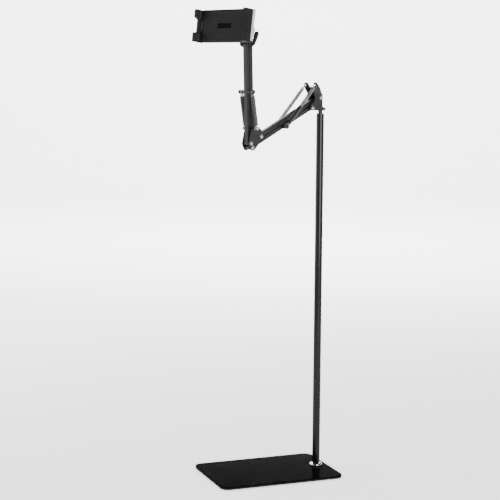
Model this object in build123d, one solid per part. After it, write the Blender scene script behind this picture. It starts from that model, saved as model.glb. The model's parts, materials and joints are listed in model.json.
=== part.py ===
from build123d import *
import os
from math import atan2, cos, degrees, hypot, radians, sin, sqrt

import numpy as np

os.makedirs("parts", exist_ok=True)

# Floor stand for a phone or tablet, in millimetres. The origin is on the floor under the pole's axis, +Z is up,
# the arm reaches along -Y, and +X is the right-hand side of somebody who faces the tablet.
# Side coordinates (u, z) are used for the arm: u is the reach, so that y = -u.

# Base and pole
BASE_LENGTH = 410.0
BASE_WIDTH = 285.0
BASE_CORNER = 26.0
PLATE_THICKNESS = 6.0
MAT_THICKNESS = 4.0
MAT_INSET = 0.8
POLE_FROM_EDGE = 36.5
BASE_TURN = -115.9
POLE_RADIUS = 12.5
POLE_WALL = 1.2
POLE_JOINT_Z = 565.0
POLE_TOP_Z = 1151.0
FLANGE_RADIUS = 20.0
FLANGE_HEIGHT = 9.0
STUD_RADIUS = 5.0
BUSH_LENGTH = 60.0
SHAFT_RADIUS = 6.7
SHAFT_BORE = 3.0

# Shoulder bracket, elbow and head: sheet steel plates either side of the tubes
SHEET = 2.0
PLATE_INNER = 13.0
PLATE_OUTER = PLATE_INNER + SHEET
BRACKET_FLOOR_Z = 1162.0
SHOULDER_TOP_PIVOT = (16.5, 1202.0)
SHOULDER_LOW_PIVOT = (54.5, 1169.0)
HORN_HOLE = (51.5, 1240.5)
HORN_SPLAY = 5.2
HORN_BEND_LOW_Z = 1216.0
HORN_BEND_HIGH_Z = 1232.0
HORN_HOLE_RADIUS = 3.0

# Double parallelogram arm
TUBE = 13.0
TUBE_WALL = 1.2
TUBE_EDGE = 1.3
LOWER_VECTOR = (275.0, -116.5)
ELBOW_FRONT_PIVOT = (336.0, 1065.5)
ELBOW_REAR_OFFSET = (-14.5, 44.5)
UPPER_LENGTH = 293.0
UPPER_LEAN = 2.0
LOWER_PIN_ALONG = 145.0
UPPER_PIN_ALONG = 153.0

# Fasteners and clearances
BOLT_RADIUS = 3.0
RUNNING = 0.05
THREAD_HOLE = 3.03
OPEN_PIVOT = 0.35
SPACER_RADIUS = 5.0
SPACER_GAP = 0.3
HEAD_RADIUS = 5.4
HEAD_HEIGHT = 3.2
HEAD_ROUND = 2.2
NUT_RADIUS = 5.8
NUT_HEIGHT = 4.0
NUT_COLLAR = 1.4
NUT_COLLAR_RADIUS = 4.4
THREAD_END = 1.0
WASHER_RADIUS = 6.6
WASHER = 1.0

# Springs and their pins
WIRE_RADIUS = 1.0
COIL_RADIUS = 4.9
LOOP_RADIUS = 5.4
LOOP_OFFSET = 1.8
LOOP_TURN = 300.0
SPRING_SIDE = 22.0
HORN_SIDE = PLATE_OUTER + HORN_SPLAY - SHEET / 2
LOWER_SPRING_TURNS = 29
UPPER_SPRING_TURNS = 17
UPPER_TAIL_TURNS = 3
UPPER_COIL_LENGTH = 86.0
UPPER_TAIL_LENGTH = 12.0
LOWER_SLEEVE_LENGTH = 74.0
UPPER_SLEEVE_LENGTH = 88.0
SLEEVE_INNER = 6.2
SLEEVE_OUTER = 6.75
ROLLER_RADIUS = 5.75
ROLLER_NECK = 3.9
ROLLER_END = 31.0
ROLLER_CAP = 2.0
LONG_BOLT_END = 27.0
JAM_NUT = 2.2
JAM_NUT_RADIUS = 5.2
DRAW_IN_ANGLE = 270.0
LEVER_HUB_START = 16.3
LEVER_HUB_END = 27.0
LEVER_HUB_RADIUS = 8.0
LEVER_STUD_END = 25.0
LEVER_WIDTH = 13.0
HEAD_PLATE_RADIUS = 8.0
TRIM = 0.8
NECK_WIDTH = 6.6

# Tablet holder, in its own frame: x to the right, y up, z out of the front face
HOLDER_CENTRE = (438.5, 1409.0)
HOLDER_TILT_BACK = 7.0
HOLDER_ROLL = 0.7
HOLDER_WIDTH = 182.0
HOLDER_HEIGHT = 95.0
HOLDER_DEPTH = 18.0
FACE_PLATE = 2.0
SHELL_WALL = 2.0
RECESS_WIDTH = 56.0
RECESS_HEIGHT = 15.4
RECESS_DEPTH = 1.4
JAW_WALL = 11.0
JAW_GAP = 8.0
HOOK_REACH = 19.0
HOOK_LIP = 4.5
HOOK_HEIGHT = 29.5
UPPER_HOOK_TAPER = 7.0
LOWER_HOOK_TAPER = 2.5
HOOK_LIP_DEPTH = 4.0
JAW_SHELF = 5.0
TONGUE_HEIGHT = 26.0
TONGUE_THICKNESS = 4.0
TONGUE_LENGTH = 100.0
JAW_ROUND = 2.5
BALL_BACK = 42.0
BALL_RADIUS = 8.0
CUP_RADIUS = 12.0
CUP_MOUTH = 4.0
STUD_BALL_RADIUS = 4.0
COLLAR_RADIUS = 15.0
KNUCKLE_PIVOT = (367.5, 1394.5)
KNUCKLE_RADIUS = 9.0

SIDE = Plane(origin=(0, 0, 0), x_dir=(0, -1, 0), z_dir=(-1, 0, 0))


def add(a, b):
    return (a[0] + b[0], a[1] + b[1])


def along(a, b, distance):
    """The point at this distance from a, towards b, in side coordinates."""
    length = hypot(b[0] - a[0], b[1] - a[1])
    return (a[0] + (b[0] - a[0]) * distance / length, a[1] + (b[1] - a[1]) * distance / length)


def slab(outline, low, high):
    """A flat piece with a side outline in (u, z), between two values of x."""
    return extrude(SIDE.offset(-high) * outline, amount=high - low)


def rod(centre, radius, low, high):
    """A cylinder along X at a side point."""
    return slab(Pos(*centre) * Circle(radius), low, high)


def polygon(points, radius):
    """A closed side outline with its corners rounded."""
    face = make_face(Polyline(*points, close=True))
    return fillet(face.vertices(), radius) if radius else face


def both_sides(shape):
    """The shape and its mirror image across the arm's middle plane."""
    return Compound(children=[shape, mirror(shape, about=Plane.YZ)])


def save(shape, node):
    """Write one sub-part."""
    export_step(shape, f"parts/{node}.step")


# Derived pivots of the arm
SHOULDER_LOW_END = add(SHOULDER_LOW_PIVOT, LOWER_VECTOR)
SHOULDER_TOP_END = add(SHOULDER_TOP_PIVOT, LOWER_VECTOR)
UPPER_VECTOR = (UPPER_LENGTH * sin(radians(UPPER_LEAN)), UPPER_LENGTH * cos(radians(UPPER_LEAN)))
ELBOW_REAR_PIVOT = add(ELBOW_FRONT_PIVOT, ELBOW_REAR_OFFSET)
HEAD_FRONT_PIVOT = add(ELBOW_FRONT_PIVOT, UPPER_VECTOR)
HEAD_REAR_PIVOT = add(ELBOW_REAR_PIVOT, UPPER_VECTOR)
LOWER_PIN = along(SHOULDER_LOW_PIVOT, SHOULDER_LOW_END, LOWER_PIN_ALONG)
UPPER_PIN = along(ELBOW_FRONT_PIVOT, HEAD_FRONT_PIVOT, UPPER_PIN_ALONG)


# Base: a powder-coated steel plate on a rubber mat, with a fixed stud that the pole screws on to
def base_outline(inset):
    centre = (BASE_LENGTH / 2 - POLE_FROM_EDGE, 0)
    length = BASE_LENGTH - 2 * inset
    width = BASE_WIDTH - 2 * inset
    return Rot(0, 0, BASE_TURN) * Pos(*centre) * RectangleRounded(length, width, BASE_CORNER - inset)


BASE_TOP_Z = MAT_THICKNESS + PLATE_THICKNESS
PLATE_TOP_ROUND = 1.6
PLATE_LOW_EDGE = 0.5
STUD_HEAD_RADIUS = 9.0
STUD_HEAD_HEIGHT = 3.0
STUD_TOP_Z = 45.0
STANDING = (Align.CENTER, Align.CENTER, Align.MIN)


def upright(radius, low, high):
    """A cylinder about the pole's axis between two heights."""
    return Pos(0, 0, low) * Cylinder(radius, high - low, align=STANDING)


mat = extrude(base_outline(MAT_INSET), amount=MAT_THICKNESS)
plate = extrude(Pos(0, 0, MAT_THICKNESS) * base_outline(0), amount=PLATE_THICKNESS)
plate = fillet(plate.faces().sort_by(Axis.Z)[-1].edges(), PLATE_TOP_ROUND)
plate = chamfer(plate.faces().sort_by(Axis.Z)[0].edges(), PLATE_LOW_EDGE)
stud = upright(STUD_HEAD_RADIUS, MAT_THICKNESS, MAT_THICKNESS + STUD_HEAD_HEIGHT)
stud = stud + upright(STUD_RADIUS, MAT_THICKNESS, STUD_TOP_Z)
plate = plate - stud
save(mat, "base_mat")
save(plate, "base_plate")
save(stud, "foot_stud")


# Pole: two steel tubes with turned inserts, joined end to end
def ring(outer, inner, low, high):
    """A tube about the pole's axis between two heights."""
    return extrude(Pos(0, 0, low) * (Circle(outer) - Circle(inner)), amount=high - low)


INSERT_RADIUS = POLE_RADIUS - POLE_WALL - RUNNING
FOOT_INSERT_TOP = 60.0
JOINER_HALF = 32.0
JOINER_BORE = 4.0
POLE_EDGE = 0.5


def pole_tube(low, high):
    tube = ring(POLE_RADIUS, POLE_RADIUS - POLE_WALL, low, high)
    outer = tube.edges().filter_by(GeomType.CIRCLE).filter_by(lambda e: e.radius > POLE_RADIUS - POLE_EDGE)
    return chamfer(outer, POLE_EDGE)


FLANGE_BORE = POLE_RADIUS + 0.1
FLANGE_SHOULDER = FLANGE_RADIUS - 3.5
FLANGE_COLLAR = POLE_RADIUS + 1.6
FLANGE_ROUND = 1.6
flange_profile = make_face(
    Polyline(
        (FLANGE_BORE, BASE_TOP_Z),
        (FLANGE_RADIUS, BASE_TOP_Z),
        (FLANGE_RADIUS, BASE_TOP_Z + FLANGE_HEIGHT * 0.45),
        (FLANGE_SHOULDER, BASE_TOP_Z + FLANGE_HEIGHT * 0.85),
        (FLANGE_COLLAR, BASE_TOP_Z + FLANGE_HEIGHT),
        (FLANGE_BORE, BASE_TOP_Z + FLANGE_HEIGHT),
        close=True,
    )
)
flange_profile = fillet(flange_profile.vertices().sort_by(Axis.X)[-3:], FLANGE_ROUND)
flange = revolve(Plane.XZ * flange_profile, axis=Axis.Z)
save(flange, "foot_flange")
save(pole_tube(BASE_TOP_Z, POLE_JOINT_Z), "lower_pole")
save(pole_tube(POLE_JOINT_Z, POLE_TOP_Z), "upper_pole")
save(ring(INSERT_RADIUS, STUD_RADIUS + RUNNING, BASE_TOP_Z, FOOT_INSERT_TOP), "foot_insert")
save(ring(INSERT_RADIUS, JOINER_BORE, POLE_JOINT_Z - JOINER_HALF, POLE_JOINT_Z + JOINER_HALF), "pole_joiner")

# Swivel: a bush in the pole's top carries the turned shaft of the shoulder bracket
BUSH_LIP_RADIUS = POLE_RADIUS - 0.6
BUSH_LIP = 1.5
SHAFT_BOTTOM_Z = POLE_TOP_Z - BUSH_LENGTH + 4.0
SHAFT_NECK_RADIUS = 8.0
SHAFT_NECK = 5.0
SHAFT_EDGE = 0.8
SHAFT_SCREW_DEPTH = 20.0
SHAFT_SCREW_HEAD = 3.0
SHAFT_SCREW_HEAD_RADIUS = 5.2
FLOOR_TOP_Z = BRACKET_FLOOR_Z + SHEET
bush = ring(INSERT_RADIUS, SHAFT_RADIUS + RUNNING, POLE_TOP_Z - BUSH_LENGTH, POLE_TOP_Z)
bush = bush + ring(BUSH_LIP_RADIUS, SHAFT_RADIUS + RUNNING, POLE_TOP_Z, POLE_TOP_Z + BUSH_LIP)
save(bush, "pole_top_bush")
shaft = upright(SHAFT_RADIUS, SHAFT_BOTTOM_Z, BRACKET_FLOOR_Z)
shaft = chamfer(shaft.edges().sort_by(Axis.Z)[0], SHAFT_EDGE)
shaft = shaft + Pos(0, 0, BRACKET_FLOOR_Z - SHAFT_NECK) * Cone(
    SHAFT_RADIUS, SHAFT_NECK_RADIUS, SHAFT_NECK, align=STANDING
)
save(shaft - upright(SHAFT_BORE, SHAFT_BOTTOM_Z, BRACKET_FLOOR_Z), "swivel_shaft")
shaft_screw = upright(SHAFT_BORE, BRACKET_FLOOR_Z - SHAFT_SCREW_DEPTH, FLOOR_TOP_Z)
shaft_screw = shaft_screw + upright(SHAFT_SCREW_HEAD_RADIUS, FLOOR_TOP_Z, FLOOR_TOP_Z + SHAFT_SCREW_HEAD)
save(shaft_screw, "shaft_screw")

# Shoulder bracket: one sheet folded into a U, with a back web and two horns that splay outwards
bracket_outline = polygon(
    [
        (-9.0, BRACKET_FLOOR_Z),
        (59.5, BRACKET_FLOOR_Z),
        (66.5, 1169.0),
        (63.5, 1180.0),
        (51.0, 1187.0),
        (44.0, 1196.0),
        (43.0, 1204.0),
        (47.0, 1213.0),
        (50.3, 1224.5),
        (57.7, 1238.5),
        (55.5, 1249.5),
        (42.5, 1249.5),
        (24.0, 1230.0),
        (6.5, 1211.0),
        (6.5, 1174.0),
        (-9.0, 1169.0),
    ],
    2.4,
)


FAR = 500.0
BEYOND = 30.0


def bent_sheet(low_side, splay, low_z, bend_low, bend_high, high_z):
    """The section of a sheet wall, seen along the arm, that leans out between two heights."""
    inner = [(low_side, low_z), (low_side, bend_low), (low_side + splay, bend_high), (low_side + splay, high_z)]
    outer = [(x + SHEET, z) for x, z in reversed(inner)]
    section = Plane.XZ * make_face(Polyline(*inner, *outer, close=True))
    return extrude(section, amount=FAR, both=True)


def horned_wall(outline, horn_hole, holes, bend_low, bend_high):
    """One side wall of a bracket on the +X side, with its splayed horn and its holes."""
    section = bent_sheet(PLATE_INNER, HORN_SPLAY, bend_low - FAR, bend_low, bend_high, bend_high + FAR)
    wall = slab(outline, 0, BEYOND) & section
    for hole in holes:
        wall = wall - rod(hole, BOLT_RADIUS + RUNNING, 0, BEYOND)
    return wall - rod(horn_hole, HORN_HOLE_RADIUS, 0, BEYOND)


wall = horned_wall(
    bracket_outline, HORN_HOLE, [SHOULDER_TOP_PIVOT, SHOULDER_LOW_PIVOT], HORN_BEND_LOW_Z, HORN_BEND_HIGH_Z
)
WEB_SIDE = PLATE_INNER + SHEET / 2


def web(points):
    """A flat strip of the sheet that joins the two side walls."""
    return slab(polygon(points, 0), -WEB_SIDE, WEB_SIDE)


floor_web = web([(-9, BRACKET_FLOOR_Z), (43, BRACKET_FLOOR_Z), (43, FLOOR_TOP_Z), (-9, FLOOR_TOP_Z)])
floor_web = floor_web - upright(SHAFT_BORE, BRACKET_FLOOR_Z - 1, FLOOR_TOP_Z + 1)
back_web = web([(6.5, 1208.5), (8.0, 1207.1), (33.5, 1234.6), (32, 1236)])
low_back_web = web([(6.5, 1175), (8.5, 1175), (8.5, 1194), (6.5, 1194)])
bracket = wall + mirror(wall, about=Plane.YZ) + floor_web + back_web + low_back_web
save(bracket, "shoulder_bracket")


# Pivot fasteners: dome-headed bolts on the near side, lock nuts on the far side, nylon spacers between
def bolt(centre, near, far):
    shank = rod(centre, BOLT_RADIUS, -far - NUT_HEIGHT - NUT_COLLAR - THREAD_END, near)
    head = rod(centre, HEAD_RADIUS, near, near + HEAD_HEIGHT)
    head = fillet(head.faces().sort_by(Axis.X)[-1].edges(), HEAD_ROUND)
    return shank + head


def nut(centre, far):
    hexagon = slab(Pos(*centre) * RegularPolygon(NUT_RADIUS, 6), -far - NUT_HEIGHT, -far)
    collar = rod(centre, NUT_COLLAR_RADIUS, -far - NUT_HEIGHT - NUT_COLLAR, -far - NUT_HEIGHT)
    return hexagon + collar - rod(centre, THREAD_HOLE, -far - 2 * NUT_HEIGHT, -far)


def washer(centre, low, high):
    return rod(centre, WASHER_RADIUS, low, high) - rod(centre, THREAD_HOLE, low, high)


def spacer(centre):
    low = TUBE / 2 + SPACER_GAP
    return rod(centre, SPACER_RADIUS, low, PLATE_INNER) - rod(centre, BOLT_RADIUS + RUNNING, low, PLATE_INNER)


NEAR_FACE = PLATE_OUTER + WASHER


def washer_pair(centre):
    return [washer(centre, PLATE_OUTER, NEAR_FACE), washer(centre, -NEAR_FACE, -PLATE_OUTER)]


def fastener_group(centres):
    """A bolt, a lock nut and two washers at each pivot."""
    pieces = []
    for centre in centres:
        pieces += [bolt(centre, NEAR_FACE, NEAR_FACE), nut(centre, NEAR_FACE), *washer_pair(centre)]
    return pieces


def save_spacers(centres, node):
    save(Compound(children=[both_sides(spacer(c)) for c in centres]), node)


# Square tubes of the arm, with plastic plugs in their ends
def bar_outline(a, b, width):
    middle = ((a[0] + b[0]) / 2, (a[1] + b[1]) / 2)
    length = hypot(b[0] - a[0], b[1] - a[1])
    turn = degrees(atan2(b[1] - a[1], b[0] - a[0]))
    return Pos(*middle) * SlotCenterToCenter(length, width, rotation=turn)


def strip_outline(a, b, width, start, end):
    """A straight strip along the line from a to b, between two distances from a."""
    p = along(a, b, start)
    q = along(a, b, end)
    turn = degrees(atan2(b[1] - a[1], b[0] - a[0]))
    return Pos((p[0] + q[0]) / 2, (p[1] + q[1]) / 2) * Rectangle(end - start, width, rotation=turn)


PLUG_DEPTH = 14.0


def square_tube(a, b, a_bore, b_bore, pin=None):
    length = hypot(b[0] - a[0], b[1] - a[1])
    tube = slab(bar_outline(a, b, TUBE), -TUBE / 2, TUBE / 2)
    faces = tube.faces().sort_by(Axis.X)
    tube = fillet(faces[0].edges() + faces[-1].edges(), TUBE_EDGE)
    inside = TUBE - 2 * TUBE_WALL
    tube = tube - slab(strip_outline(a, b, inside, -TUBE, length + TUBE), -inside / 2, inside / 2)
    tube = tube - rod(a, a_bore, -TUBE, TUBE) - rod(b, b_bore, -TUBE, TUBE)
    if pin:
        tube = tube - rod(pin, BOLT_RADIUS + RUNNING, -TUBE, TUBE)
    return tube


def tube_plugs(a, b, a_bore, b_bore):
    """Moulded plugs that close both ends and carry the pivot bolts."""
    length = hypot(b[0] - a[0], b[1] - a[1])
    size = TUBE - 2 * TUBE_WALL - 0.1
    shape = slab(bar_outline(a, b, TUBE - 0.6), -size / 2, size / 2)
    first = shape & slab(strip_outline(a, b, size, -TUBE, PLUG_DEPTH), -TUBE, TUBE)
    last = shape & slab(strip_outline(a, b, size, length - PLUG_DEPTH, length + TUBE), -TUBE, TUBE)
    return Compound(children=[first - rod(a, a_bore, -TUBE, TUBE), last - rod(b, b_bore, -TUBE, TUBE)])


FIT = BOLT_RADIUS + RUNNING
OPEN = BOLT_RADIUS + OPEN_PIVOT
TUBES = {
    "lower_top": (SHOULDER_TOP_PIVOT, SHOULDER_TOP_END, FIT, FIT, None),
    "lower_bottom": (SHOULDER_LOW_PIVOT, SHOULDER_LOW_END, FIT, OPEN, LOWER_PIN),
    "upper_front": (ELBOW_FRONT_PIVOT, HEAD_FRONT_PIVOT, FIT, FIT, UPPER_PIN),
    "upper_rear": (ELBOW_REAR_PIVOT, HEAD_REAR_PIVOT, FIT, OPEN, None),
}
for name, (start, end, start_bore, end_bore, pin_at) in TUBES.items():
    save(square_tube(start, end, start_bore, end_bore, pin_at), f"{name}_tube")
    save(tube_plugs(start, end, start_bore, end_bore), f"{name}_plugs")

SHOULDER_PIVOTS = (SHOULDER_TOP_PIVOT, SHOULDER_LOW_PIVOT)
save(Compound(children=fastener_group(SHOULDER_PIVOTS)), "shoulder_fasteners")
save_spacers(SHOULDER_PIVOTS, "shoulder_spacers")

# Elbow: two loose plates held by four bolts; the rear one is long, and the upper springs hook on to its ends
elbow_outline = polygon(
    [
        (282.5, 1080.5),
        (283.5, 1093.5),
        (294.0, 1107.5),
        (304.0, 1113.0),
        (313.5, 1114.0),
        (325.0, 1118.5),
        (333.0, 1111.5),
        (343.0, 1076.5),
        (345.0, 1060.5),
        (334.0, 1043.5),
        (322.0, 1043.5),
        (309.0, 1056.5),
    ],
    2.4,
)
ELBOW_PIVOTS = (SHOULDER_TOP_END, SHOULDER_LOW_END, ELBOW_FRONT_PIVOT, ELBOW_REAR_PIVOT)
elbow_plate = slab(elbow_outline, PLATE_INNER, PLATE_OUTER)
for hole in ELBOW_PIVOTS:
    elbow_plate = elbow_plate - rod(hole, FIT, 0, BEYOND)
save(elbow_plate, "elbow_plate_near")
save(mirror(elbow_plate, about=Plane.YZ), "elbow_plate_far")
jam_nut = slab(Pos(*ELBOW_REAR_PIVOT) * RegularPolygon(JAM_NUT_RADIUS, 6), PLATE_OUTER, PLATE_OUTER + JAM_NUT)
jam_nut = jam_nut - rod(ELBOW_REAR_PIVOT, THREAD_HOLE, 0, BEYOND)
elbow_fasteners = fastener_group(ELBOW_PIVOTS[:3])
elbow_fasteners += [jam_nut, mirror(jam_nut, about=Plane.YZ), nut(ELBOW_REAR_PIVOT, LONG_BOLT_END)]
save(Compound(children=elbow_fasteners), "elbow_fasteners")
save(bolt(ELBOW_REAR_PIVOT, LONG_BOLT_END, LONG_BOLT_END), "elbow_spring_bolt")
save_spacers(ELBOW_PIVOTS, "elbow_spacers")


# Spring pins: a steel rod through the tube, with a grooved roller on each side that the spring loops round
def roller(centre):
    body = rod(centre, ROLLER_RADIUS, TUBE / 2 + SPACER_GAP, ROLLER_END)
    body = chamfer(body.faces().sort_by(Axis.X)[-1].edges(), 0.8)
    groove_low = SPRING_SIDE - NECK_WIDTH / 2
    groove = rod(centre, ROLLER_RADIUS + 1, groove_low, groove_low + NECK_WIDTH)
    groove = groove - rod(centre, ROLLER_NECK, groove_low, groove_low + NECK_WIDTH)
    return body - groove - rod(centre, BOLT_RADIUS, 0, ROLLER_END - ROLLER_CAP)


for name, centre in (("lower", LOWER_PIN), ("upper", UPPER_PIN)):
    save(rod(centre, BOLT_RADIUS, ROLLER_CAP - ROLLER_END, ROLLER_END - ROLLER_CAP), f"{name}_spring_pin")
    save(both_sides(roller(centre)), f"{name}_spring_rollers")


# Extension springs: one unbroken wire each, from loop to loop, on arcs that follow a helix formula
def coil_radius(turned, left, looped_start, looped_end):
    """The helix draws in smoothly to a small radius where it turns into a loop."""
    radius = COIL_RADIUS
    if looped_start:
        radius = min(radius, drawn_in(turned))
    if looped_end:
        radius = min(radius, drawn_in(left))
    return radius


def drawn_in(angle):
    share = min(max(angle / DRAW_IN_ANGLE, 0.0), 1.0)
    return LOOP_OFFSET + (COIL_RADIUS - LOOP_OFFSET) * share * share * (3 - 2 * share)


def coil_point(angle, first, last, low, high, looped_start, looped_end):
    radius = coil_radius(angle - first, last - angle, looped_start, looped_end)
    height = low + (high - low) * (angle - first) / (last - first)
    return Vector(radius * cos(radians(angle)), radius * sin(radians(angle)), height)


def loop_samples(angle, height, sign):
    """Points and headings round an open loop that stands on the coil's end; sign is -1 for the first end."""
    out = Vector(cos(radians(angle)), sin(radians(angle)), 0) * LOOP_OFFSET
    heading = Vector(-sin(radians(angle)), cos(radians(angle)), 0)
    up = Vector(0, 0, 1)
    samples = []
    for step in range(1, 6):
        turn = radians(LOOP_TURN * step / 5)
        point = out + up * height + heading * (sign * LOOP_RADIUS * sin(turn)) - up * (sign * LOOP_RADIUS * cos(turn))
        samples.append((point, heading * cos(turn) + up * sin(turn)))
    return samples if sign > 0 else samples[::-1]


def coil_samples(turns, start_angle, low, high, looped_start, looped_end):
    """Points and headings along the whole wire, low and high being the heights where the coil begins and ends."""
    last = start_angle + 360.0 * turns
    angles = [start_angle + 90.0 * k for k in range(4)]
    steps = int(round((last - start_angle - 2 * 270.0) / 180.0))
    middle = (last - start_angle - 2 * 270.0) / steps
    angles += [start_angle + 270.0 + middle * k for k in range(1, steps)]
    angles += [last - 270.0 + 90.0 * k for k in range(4)]
    shape = (start_angle, last, low, high, looped_start, looped_end)
    samples = []
    for angle in angles:
        ahead = coil_point(min(angle + 1, last), *shape)
        behind = coil_point(max(angle - 1, start_angle), *shape)
        samples.append((coil_point(angle, *shape), (ahead - behind).normalized()))
    if looped_start:
        samples = loop_samples(start_angle, low - LOOP_RADIUS, -1) + samples
    if looped_end:
        samples = samples + loop_samples(last, high + LOOP_RADIUS, 1)
    return samples


def two_arcs(start, heading, end, end_heading):
    """Two arcs that join smoothly and leave and arrive along the two headings."""
    chord = end - start
    both = heading + end_heading
    spare = 4.0 - both.dot(both)
    reach = (sqrt(chord.dot(both) ** 2 + chord.dot(chord) * spare) - chord.dot(both)) / spare
    middle = (start + heading * reach + end - end_heading * reach) * 0.5
    first = Edge.make_tangent_arc(start, heading, middle)
    second = Edge.make_tangent_arc(middle, first % 1, end)
    return [first, second]


def least_gap(edges):
    """The smallest distance between the wire's surface and itself, measured on points along it."""
    points = []
    lengths = []
    travelled = 0.0
    for edge in edges:
        for share in (0.0, 0.25, 0.5, 0.75):
            points.append(tuple(edge @ share))
            lengths.append(travelled + share * edge.length)
        travelled += edge.length
    spots = np.array(points)
    places = np.array(lengths)
    apart = np.linalg.norm(spots[:, None] - spots[None], axis=2)
    apart[np.abs(places[:, None] - places[None]) < 4 * WIRE_RADIUS] = np.inf
    return apart.min() - 2 * WIRE_RADIUS


def spring(name, turns, start_angle, low, high, looped_start, looped_end):
    samples = coil_samples(turns, start_angle, low, high, looped_start, looped_end)
    edges = []
    for (a, a_heading), (b, b_heading) in zip(samples, samples[1:]):
        edges += two_arcs(a, a_heading, b, b_heading)
    tightest = min(e.radius for e in edges if e.geom_type == GeomType.CIRCLE)
    print(name, "turns", turns, "least gap", round(least_gap(edges), 2), "tightest bend", round(tightest, 2))
    section = Plane(origin=samples[0][0], z_dir=samples[0][1]) * Circle(WIRE_RADIUS)
    return sweep(section, path=Wire(edges))


def spring_plane(start, end, side):
    """The frame of a spring: z runs from one anchor to the other, and x is across the arm."""
    return Plane(origin=(side, -start[0], start[1]), x_dir=(1, 0, 0), z_dir=(0, start[0] - end[0], end[1] - start[1]))


def near_and_far(shape, start, end):
    return [spring_plane(start, end, side).location * shape for side in (SPRING_SIDE, -SPRING_SIDE)]


# Lower springs: the first loop lies across the arm, through the horn's hole, and the second goes round the roller
aim = along(HORN_HOLE, LOWER_PIN, 1.0)
LOWER_START = (
    HORN_HOLE[0] - (aim[1] - HORN_HOLE[1]) * LOOP_OFFSET,
    HORN_HOLE[1] + (aim[0] - HORN_HOLE[0]) * LOOP_OFFSET,
)
LOWER_SPRING_LENGTH = hypot(LOWER_PIN[0] - LOWER_START[0], LOWER_PIN[1] - LOWER_START[1])
HORN_CROSSING = sqrt(LOOP_RADIUS**2 - (SPRING_SIDE - HORN_SIDE) ** 2)
lower_coil_low = HORN_CROSSING + LOOP_RADIUS
lower_coil_high = LOWER_SPRING_LENGTH - LOOP_RADIUS
lower_spring = spring("lower spring", LOWER_SPRING_TURNS + 0.25, -90.0, lower_coil_low, lower_coil_high, True, True)
near, far = near_and_far(lower_spring, LOWER_START, LOWER_PIN)
save(near, "lower_spring_near")
save(far, "lower_spring_far")


SLEEVE_TO_PIN = 14.0


def sleeve(start, end, length, side):
    """A sleeve of this length that ends a fixed distance before the pin at the spring's end."""
    frame = spring_plane(start, end, side)
    low = hypot(end[0] - start[0], end[1] - start[1]) - SLEEVE_TO_PIN - length
    return extrude(frame.offset(low) * (Circle(SLEEVE_OUTER) - Circle(SLEEVE_INNER)), amount=length)


save(sleeve(LOWER_START, LOWER_PIN, LOWER_SLEEVE_LENGTH, SPRING_SIDE), "lower_spring_sleeve")

# Upper springs: each is a coil that hooks on to the elbow's long bolt, and a separate tail on the front tube's pin,
# so that the sleeve over both lets the spring grow longer as the arm leans out
UPPER_SPRING_LENGTH = hypot(UPPER_PIN[0] - ELBOW_REAR_PIVOT[0], UPPER_PIN[1] - ELBOW_REAR_PIVOT[1])
upper_coil_low = LOOP_RADIUS
upper_coil = spring(
    "upper spring", UPPER_SPRING_TURNS, 0.0, upper_coil_low, upper_coil_low + UPPER_COIL_LENGTH, True, False
)
near, far = near_and_far(upper_coil, ELBOW_REAR_PIVOT, UPPER_PIN)
save(near, "upper_spring_near")
save(far, "upper_spring_far")
tail_high = UPPER_SPRING_LENGTH - LOOP_RADIUS
upper_tail = spring(
    "upper spring tail", UPPER_TAIL_TURNS, 0.0, tail_high - UPPER_TAIL_LENGTH, tail_high, False, True
)
save(Compound(children=near_and_far(upper_tail, ELBOW_REAR_PIVOT, UPPER_PIN)), "upper_spring_tails")
sleeves = [sleeve(ELBOW_REAR_PIVOT, UPPER_PIN, UPPER_SLEEVE_LENGTH, side) for side in (SPRING_SIDE, -SPRING_SIDE)]
save(Compound(children=sleeves), "upper_spring_sleeves")


# Head bracket: two plates on the upper tubes' ends, which stay upright as the arm moves
def hull_outline(centres, radius):
    circles = Sketch() + [Pos(*c) * Circle(radius) for c in centres]
    return make_hull(circles.edges())


head_outline = hull_outline([HEAD_FRONT_PIVOT, HEAD_REAR_PIVOT, KNUCKLE_PIVOT], HEAD_PLATE_RADIUS)
head_plate = slab(head_outline, PLATE_INNER, PLATE_OUTER)
HEAD_PIVOTS = (HEAD_FRONT_PIVOT, HEAD_REAR_PIVOT, KNUCKLE_PIVOT)
for hole in HEAD_PIVOTS:
    head_plate = head_plate - rod(hole, FIT, 0, BEYOND)
save(head_plate, "head_plate_near")
save(mirror(head_plate, about=Plane.YZ), "head_plate_far")
lever_stud = rod(HEAD_FRONT_PIVOT, BOLT_RADIUS, -NEAR_FACE - NUT_HEIGHT - NUT_COLLAR - THREAD_END, LEVER_STUD_END)
save(lever_stud, "clamp_stud")
head_fasteners = fastener_group([HEAD_REAR_PIVOT, KNUCKLE_PIVOT])
head_fasteners += [nut(HEAD_FRONT_PIVOT, NEAR_FACE), *washer_pair(HEAD_FRONT_PIVOT)]
save(Compound(children=head_fasteners), "head_fasteners")
save_spacers([HEAD_FRONT_PIVOT, HEAD_REAR_PIVOT], "head_spacers")

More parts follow.
